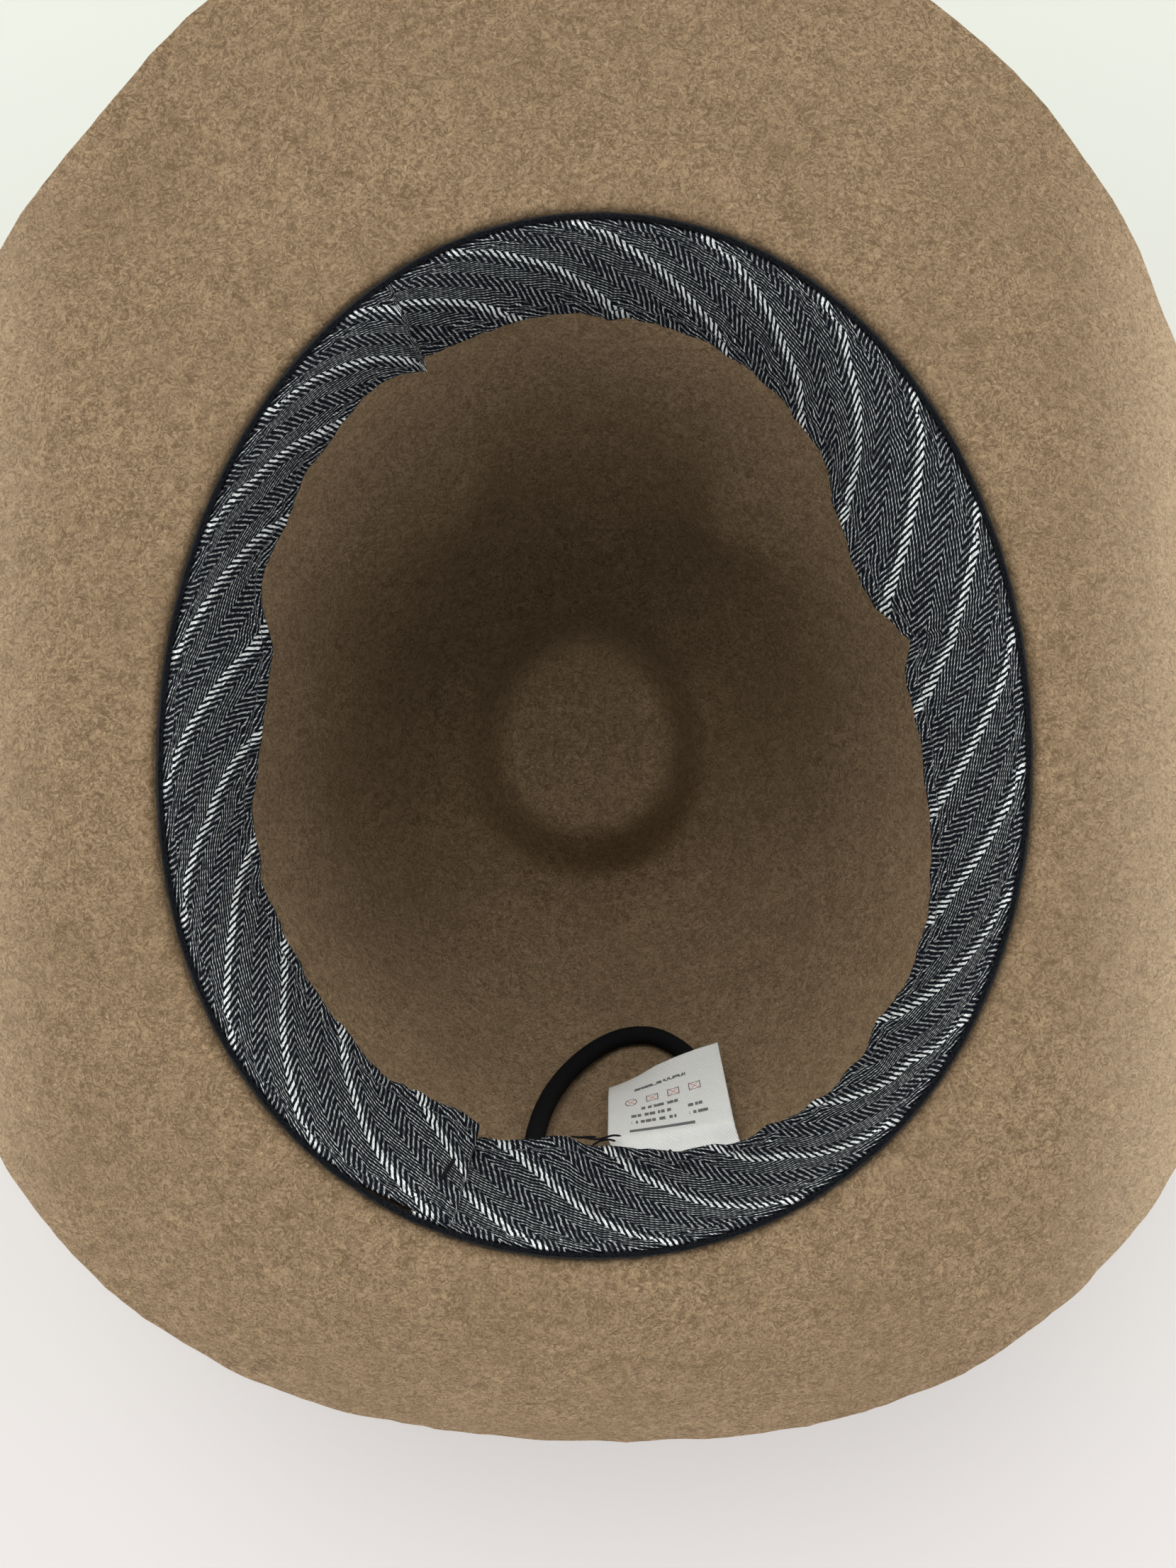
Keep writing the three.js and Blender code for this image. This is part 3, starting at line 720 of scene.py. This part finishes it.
def make_sweatband():
    angles = np.linspace(BAND_START, BAND_END, 1100)
    down = [np.linspace(BAND_TOP, 5, 14), np.linspace(5, 29, 30)[1:], np.linspace(29, BAND_BOTTOM, 18)[1:]]
    down = np.concatenate(down)
    grid_angle, grid_down = np.meshgrid(angles, down, indexing="ij")
    lift = band_lift(grid_angle, grid_down)
    thick = band_thickness(grid_down)
    tuck = np.clip(np.minimum(angles - BAND_START, BAND_END - angles) / 0.6, 0, 1)
    thick = thick * np.sqrt(1 - (1 - np.clip(tuck, 0.02, 1)) ** 2)[:, None]
    true_down = band_depth(grid_angle, grid_down)
    face = on_wall(grid_angle, true_down, lift + thick)
    back = on_wall(grid_angle, true_down, lift)
    last_depth = true_down[:, -1]
    turns = np.linspace(0, math.pi, 9)[1:-1]
    half = thick[:, -1:] / 2
    hem_lift = lift[:, -1:] + half + half * np.cos(turns)
    edge_angles = np.repeat(angles[:, None], len(turns), 1)
    hem = on_wall(edge_angles, last_depth[:, None] + half * np.sin(turns), hem_lift)
    half = thick[:, :1] / 2
    roll_lift = lift[:, :1] + half - half * np.cos(turns)
    roll = on_wall(edge_angles, true_down[:, :1] - half * np.sin(turns), roll_lift)
    rows = np.concatenate([face, hem, back[:, ::-1], roll], axis=1)
    arc = np.concatenate([[0], np.cumsum(np.linalg.norm(np.diff(back[:, 20], axis=0), axis=1))])
    v = np.concatenate([down, BAND_BOTTOM + 0.6 * np.arange(1, 8) / 8, 2 * BAND_BOTTOM + 0.8 - down[::-1]])
    v = np.concatenate([v, BAND_TOP - 0.6 * turns[::-1], [BAND_TOP]])
    uv = np.stack(np.meshgrid(arc, v, indexing="ij"), -1)
    mesh = skin("sweatband_twill", rows[:, ::-1], uv=uv[:, ::-1], caps=True)
    band = new_object("sweatband_twill", mesh, TWILL_LOOK)
    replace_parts(band, "sweatband")
    return band


def row_of_stitches(name, depth, pitch, length, radius, material, node, skip=()):
    """Stitches along the band's face, `depth` below the brim plane."""
    step = math.degrees(pitch / OPENING_RADIUS)
    centres = np.arange(BAND_START + FLAT + 1.2, BAND_END - 1.0, step)
    centres = centres + rng.normal(0, 0.05, len(centres))
    half = math.degrees(length / OPENING_RADIUS) / 2
    wander = 0.12 * ripple(np.stack([centres, 0 * centres], -1), 9, 41)
    depths = depth + wander
    starts = band_face(centres - half, depths)
    ends = band_face(centres + half, depths + rng.normal(0, 0.05, len(centres)))
    normals = wall_normal(centres, depths)
    piece = stitches(name, starts, ends, normals, radius, material)
    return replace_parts(piece, node)


def bar_tack(name, middle, along, face, count, wide, radius, node):
    """Close zigzag stitches at (angle, depth), running `along` it, without the two laid threads they would
    cover.
    """
    starts, ends, normals = [], [], []
    for share in np.linspace(-0.5, 0.5, count):
        angle = middle[0] + along[0] * share
        depth = middle[1] + along[1] * share
        across = np.array([along[1], -along[0] * OPENING_MM])
        across = across / np.linalg.norm(across) * wide / 2
        shift = (math.degrees(across[0] / OPENING_RADIUS), across[1])
        jitter = rng.normal(0, 0.04, 4)
        starts.append(face(angle - shift[0] + jitter[0] * 0.4, depth - shift[1] + jitter[1]))
        ends.append(face(angle + shift[0] + jitter[2] * 0.4, depth + shift[1] + jitter[3]))
        normals.append(wall_normal(np.float64(angle), np.float64(depth)))
    piece = stitches(name, starts, ends, normals, radius, BLACK_THREAD, arch=1.1)
    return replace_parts(piece, node)


def root_face(angle, depth):
    """The face of a flattened cord end, behind the sweatband."""
    return on_wall(angle, depth, 3.1)


def make_piping():
    count, sides = 1200, 16
    angles = np.linspace(0, 360, count, endpoint=False)
    turns = np.linspace(0, 360, sides, endpoint=False)
    swell = 1 + 0.55 * bell(turn_between(angles, -77.5), 0.8) + 0.45 * bell(turn_between(angles, 246), 3)
    line = np.stack([angles * OPENING_MM, 0 * angles], -1)
    radius = PIPING_RADIUS * swell * (1 + 0.09 * ripple(line, 9, 51) + 0.08 * ripple(line, 2.2, 52))
    radius = radius[:, None] * (1 + 0.03 * np.sin(rad(3 * turns)))[None] + rng.normal(0, 0.07, (count, sides))
    lift = PIPING_LIFT - radius * np.cos(rad(turns))
    depth = PIPING_DEPTH - radius * np.sin(rad(turns)) + 0.18 * ripple(line, 22, 53)[:, None]
    rows = on_wall(np.repeat(angles[:, None], sides, 1), depth, lift)
    arc = np.linspace(0, 590, count + 1)
    uv = np.stack(np.meshgrid(arc, np.linspace(0, 5.6, sides + 1), indexing="ij"), -1)
    mesh = skin("piping_tape", rows[:, ::-1], uv=uv[:, ::-1], wrap_rows=True)
    piping = new_object("piping_tape", mesh, TAPE_LOOK)
    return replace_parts(piping, "sweatband_piping")


# ---- hanging loop ----
def loop_path(count):
    """From one sewn end behind the band, round the loop, to the other."""
    lift = CORD_GAP + CORD / 2
    points = [on_wall(LOOP_ROOTS[0], LOOP_ROOT_DEPTH, 1.9), on_wall(LOOP_ROOTS[0], 35.5, 2.4)]
    points += [on_wall(angle, depth, lift) for angle, depth in LOOP_ROUTE]
    points += [on_wall(LOOP_ROOTS[1], 35.5, 2.4), on_wall(LOOP_ROOTS[1], LOOP_ROOT_DEPTH, 1.9)]
    return smooth_path(points, count)


def make_loop():
    count, sides = 520, 40
    path = loop_path(count)
    length = np.linalg.norm(np.diff(path, axis=0), axis=1).sum()
    arc = np.linspace(0, length, count)
    turn = np.linspace(0, 2 * math.pi, sides, endpoint=False)
    twist = 2 * math.pi * arc[:, None] / 7.2
    braid = np.abs(np.sin(4 * (turn[None] + twist))) * np.abs(np.sin(4 * (turn[None] - twist)))
    radius = CORD / 2 * (0.965 + 0.05 * np.sqrt(braid))
    radius = radius * rounded_tips(count, 1.0, cut=5)[:, None]
    rows = tube_rows(path, radius, sides)
    depth = TOP - path[:, 2]
    sewn = ease(37.5, 33.0, depth)[:, None, None]
    angle = np.degrees(np.arctan2((path[:, 1] - CENTRE[1]) / OPENING[1], (path[:, 0] - CENTRE[0]) / OPENING[0]))
    normal = wall_normal(angle, depth)[:, None]
    off = ((rows - path[:, None]) * normal).sum(-1, keepdims=True)
    rows = rows - normal * off * 0.6 * sewn
    uv = np.stack(np.meshgrid(arc, np.linspace(0, CORD * math.pi, sides + 1), indexing="ij"), -1)
    mesh = skin("loop_cord", rows, uv=uv, caps=True)
    loop = new_object("loop_cord", mesh, CORD_LOOK, body=None)
    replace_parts(loop, "hanging_loop", "hanging_loop_end_left", "hanging_loop_end_right")
    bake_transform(loop)
    return loop


# ---- care label ----
def label_point(across, down):
    """across from 0 to 1, down in millimetres from the plate's top edge; negative is behind the band."""
    corner = [np.array([CENTRE[0] + x, CENTRE[1] + y, TOP - d]) for x, y, d in (*LABEL_TOP, *LABEL_BOTTOM)]
    top_left, top_right, bottom_left, bottom_right = corner
    across, down = np.broadcast_arrays(np.asarray(across, float), np.asarray(down, float))
    share = (np.clip(down, 0, None) / (LABEL_TALL - LABEL_SEWN))[..., None]
    left = mix(top_left, bottom_left, share)
    right = mix(top_right, bottom_right, share)
    plate = mix(left, right, across[..., None])
    face = unit(np.cross(top_right - top_left, bottom_left - top_left)) * -1
    curl = 0.9 * np.sin(math.pi * across) * np.sin(math.pi * np.clip(share[..., 0], 0, 1) * 0.9)
    wave = 0.5 * np.sin(2.3 * math.pi * across + 0.6) * np.clip(share[..., 0], 0, 1) ** 2
    flick = 1.1 * np.clip((share[..., 0] - 0.72) / 0.28, 0, 1) ** 2 * np.clip(1 - across * 1.4, 0, 1)
    plate = plate + face * (curl + wave + flick)[..., None]
    angle = mix(LABEL_TAB[0], LABEL_TAB[1], across)
    depth = np.clip(36.0 + down, 30.5, 36.0)
    tab = on_wall(angle, depth, band_lift(angle, depth) - 0.45)
    return mix(tab, plate, ease(-1.6, 1.6, down)[..., None])


def make_label():
    across = np.linspace(0, 1, 64)
    down = np.linspace(-LABEL_SEWN, LABEL_TALL - LABEL_SEWN, 96)
    grid_across, grid_down = np.meshgrid(across, down, indexing="ij")
    along_edge = np.stack([grid_across * 28, 0 * grid_across], -1)
    grid_down = grid_down + 0.18 * ripple(along_edge, 8, 61) * (grid_down > 27)
    front = label_point(grid_across, grid_down)
    normal = unit(np.cross(np.gradient(front, axis=0), np.gradient(front, axis=1)))
    if (normal[32, 60] * [0, 1, 0.3]).sum() < 0:
        normal = -normal
    back = front - normal * LABEL_THICK
    rows = np.concatenate([front, back[:, ::-1]], axis=1)
    v = np.concatenate([down + LABEL_SEWN, 2 * LABEL_TALL - (down[::-1] + LABEL_SEWN), [0.0]])
    uv = np.stack(np.meshgrid(across * LABEL_WIDE, v, indexing="ij"), -1)
    mesh = skin("label_cloth", rows, uv=uv, caps=True)
    label = new_object("label_cloth", mesh, LABEL_LOOK, body=None)
    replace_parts(label, "care_label", "care_label_tab")
    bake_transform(label)
    return label


def make_thread_tail():
    """A few loose ends of black thread at the label's corner."""
    routes = (
        ((-92.6, 33.4, 1.6), (-90.6, 35.6, 1.5), (-88.6, 35.2, 2.2), (-86.4, 36.6, 2.4), (-85.0, 36.4, 2.6)),
        ((-89.4, 33.6, 1.5), (-88.2, 35.4, 1.7), (-87.0, 34.6, 2.5), (-86.0, 33.8, 2.8)),
        ((-91.6, 34.2, 1.5), (-90.2, 36.8, 1.2), (-88.8, 37.4, 1.3)),
    )
    vertices, faces = [], []
    for route in routes:
        points = smooth_path([on_wall(a, d, band_lift(a, BAND_BOTTOM) + off) for a, d, off in route], 40)
        rows = tube_rows(points, rounded_tips(40, 0.24, 3)[:, None], 8)
        mesh = skin("strand", rows, caps=True)
        base = len(vertices)
        vertices.extend([tuple(v.co) for v in mesh.vertices])
        faces.extend([[base + i for i in p.vertices] for p in mesh.polygons])
        bpy.data.meshes.remove(mesh)
    mesh = bpy.data.meshes.new("loose_thread")
    mesh.from_pydata(vertices, [], faces)
    tail = new_object("loose_thread", mesh, BLACK_THREAD)
    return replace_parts(tail, "thread_tail")


# ---- ribbon and bow ----
def band_of_ribbon(name, angles, down, near, thick, closed, node, wrinkle=0.12, seed=71):
    """Ribbon laid on the outside of the crown; near and thick are lifts, the same at each point or a grid."""
    grid_angle, grid_down = np.meshgrid(angles, down, indexing="ij")
    flat = np.stack([grid_angle * OPENING_MM, grid_down * 0.7], -1)
    wave = wrinkle * ripple(flat, 14, seed)
    lift = near + 0 * grid_angle
    thick = thick + 0 * grid_angle
    inner = on_wall(grid_angle, grid_down, -lift)
    outer = on_wall(grid_angle, grid_down, -(lift + thick + np.maximum(wave, -0.15)))
    rows = np.concatenate([outer, inner[:, ::-1]], axis=1)
    arc = angles * RIBBON_MM
    v = np.concatenate([down, 60 + down[::-1], [120]])
    if closed:
        arc = np.concatenate([arc, [360 * RIBBON_MM]])
    uv = np.stack(np.meshgrid(arc, v, indexing="ij"), -1)
    mesh = skin(name, rows, uv=uv, wrap_rows=closed, caps=not closed)
    piece = new_object(name, mesh, RIBBON_LOOK)
    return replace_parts(piece, node)


def make_ribbon():
    near = FELT + RIBBON_GAP
    down = np.linspace(RIBBON_TOP, RIBBON_BOTTOM, 26)
    angles = np.linspace(0, 360, 480, endpoint=False)
    band_of_ribbon("hat_ribbon", angles, down, near, RIBBON_THICK, True, "hatband_ribbon")
    on_ribbon = near + RIBBON_THICK + 0.35
    for side, node in ((1, "bow_front_loop"), (-1, "bow_back_loop")):
        angles = np.linspace(3.6, 17, 60) * side
        angles = np.sort(angles)
        share = (np.abs(angles) - 3.2) / 13.8
        fold = 0.55 + 1.15 * np.sin(math.pi * np.clip(share, 0, 1)) ** 0.8
        pleats = 0.22 * np.cos((down - 5) / 25 * 6 * math.pi)[None] * (1 - share[:, None])
        thick = fold[:, None] + pleats
        rows_down = np.linspace(RIBBON_TOP + 1.8, RIBBON_BOTTOM - 1.8, 26)
        band_of_ribbon(f"ribbon_bow_{'front' if side > 0 else 'back'}", angles, rows_down, on_ribbon, thick,
                       False, node, 0.08, 72 + side)
    angles = np.linspace(-3.2, 3.2, 24)
    rows_down = np.linspace(RIBBON_TOP + 0.4, RIBBON_BOTTOM + 0.6, 30)
    rounded = np.sqrt(np.clip(1 - (angles / 3.3) ** 2, 0.02, 1))[:, None]
    folds = 0.18 * np.cos(angles / 3.2 * 3 * math.pi)[:, None]
    thick = 0.6 + 2.4 * rounded + folds
    band_of_ribbon("ribbon_bow_knot", angles, rows_down, on_ribbon, thick, False, "bow_knot", 0.05, 75)


def outside_face(angle, depth):
    return on_wall(angle, depth, -(FELT + RIBBON_GAP + RIBBON_THICK + 0.1))


def make_hatband_tacks():
    for angle, where in ((90, "front"), (180, "right"), (270, "back")):
        starts = [outside_face(angle - 0.9 + 0.25 * k, 7.4 + 0.35 * k) for k in range(3)]
        ends = [outside_face(angle + 0.9 + 0.25 * k, 7.6 + 0.35 * k) for k in range(3)]
        normals = [-wall_normal(np.float64(angle), np.float64(8))] * 3
        piece = stitches(f"ribbon_tack_{where}", starts, ends, normals, 0.22, BROWN_THREAD)
        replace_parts(piece, f"hatband_tack_{where}")


make_felt()
make_sweatband()
make_piping()
row_of_stitches("seam_stitches", TOP_SEAM, 3.0, 2.1, 0.17, BLACK_THREAD,
                "sweatband_seam_thread")
row_of_stitches("hem_stitches", BAND_BOTTOM - HEM_SEAM, 3.2, 2.3, 0.15, GREY_THREAD,
                "sweatband_hem_thread")
bar_tack("join_tack_thread", (BAND_END - 3.0, 16.5), (0.9, 8.0), band_face, 16, 1.1, 0.22,
         "sweatband_join_tack")
for root, side in zip(LOOP_ROOTS, ("left", "right")):
    bar_tack(f"loop_tack_thread_{side}", (root, 33.2), (3.2, 0.2), root_face, 9, 0.9, 0.16,
             f"hanging_loop_tack_{side}")
make_loop()
make_label()
make_thread_tail()
make_ribbon()
make_hatband_tacks()
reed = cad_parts["sweatband_reed"]
reed.data.materials.clear()
reed.data.materials.append(REED_LOOK)


# ---- floor, light and camera ----
HORIZON = 3.45  # brightness of the room low down, and overhead
ZENITH = 0.30
KEY = 15
SIDE = 5


def floor_material():
    """Two pale tones, pinkish at the back and greenish at the front, after the photo's backdrop; the tints are
    painted light, the colour of the light on a plain pale floor.
    """
    s = Shader("pale_floor")
    at = s.node("ShaderNodeSeparateXYZ", {0: s.place()})
    share = s.span(at.outputs[1], -0.35, 0.35)
    # painted light: the pink and green tints stand for the colour of the light falling there, not the floor's
    color = s.blend(share, (0.70, 0.662, 0.650), (0.66, 0.69, 0.615))
    return s.finish(color, 0.6, None, Specular_IOR_Level=0.2)


def make_floor():
    size = 3.0
    mesh = bpy.data.meshes.new("floor")
    corners = [(-size, -size, 0), (size, -size, 0), (size, size, 0), (-size, size, 0)]
    mesh.from_pydata(corners, [], [(0, 1, 2, 3)])
    mesh.materials.append(floor_material())
    floor = bpy.data.objects.new("floor", mesh)
    bpy.context.scene.collection.objects.link(floor)


def soft_light(name, place, target, size, power, color):
    lamp = bpy.data.lights.new(name, "AREA")
    lamp.shape = "DISK"
    lamp.size = size
    lamp.energy = power
    lamp.color = color
    obj = bpy.data.objects.new(name, lamp)
    bpy.context.scene.collection.objects.link(obj)
    obj.visible_camera = False
    obj.location = place
    obj.rotation_euler = (Vector(target) - Vector(place)).to_track_quat("-Z", "Y").to_euler()


def make_lights():
    """A pale room that is brightest towards the horizon, and a broad soft light from the front."""
    world = bpy.data.worlds.new("studio")
    bpy.context.scene.world = world
    world.use_nodes = True
    nodes, links = world.node_tree.nodes, world.node_tree.links
    height = nodes.new("ShaderNodeSeparateXYZ")
    links.new(nodes.new("ShaderNodeTexCoord").outputs["Generated"], height.inputs[0])
    fade = nodes.new("ShaderNodeMapRange")
    fade.interpolation_type = "SMOOTHSTEP"
    for socket, value in zip(fade.inputs[1:5], (0.12, 0.80, HORIZON, ZENITH)):
        socket.default_value = value
    links.new(height.outputs[2], fade.inputs[0])
    nodes["Background"].inputs["Color"].default_value = (0.985, 0.99, 1.0, 1)
    links.new(fade.outputs[0], nodes["Background"].inputs["Strength"])
    soft_light("front", (-0.35, 1.3, 1.6), (0, 0, 0.08), 1.2, KEY, (1.0, 1.0, 0.975))
    soft_light("left", (-1.7, -0.55, 0.72), (0, 0, 0.08), 0.9, SIDE, (1.0, 0.985, 0.97))
    soft_light("right", (1.7, 0.1, 0.72), (0, 0, 0.08), 0.9, 0.8 * SIDE, (1.0, 0.985, 0.97))
    bpy.context.scene.view_settings.view_transform = "Standard"


def make_camera():
    """Looks almost straight down into the head opening."""
    lens = bpy.data.cameras.new("camera")
    lens.sensor_width = 36
    lens.lens = 27.05
    lens.clip_start = 0.01
    camera = bpy.data.objects.new("camera", lens)
    bpy.context.scene.collection.objects.link(camera)
    camera.location = Vector((CENTRE[0] - 6.97, CENTRE[1] - 7.59, TOP + 232.0)) * MM
    camera.rotation_euler = Euler([math.radians(x) for x in (-0.42, -1.25, 1.1)], "XYZ")
    bpy.context.scene.camera = camera


make_floor()
make_lights()
make_camera()
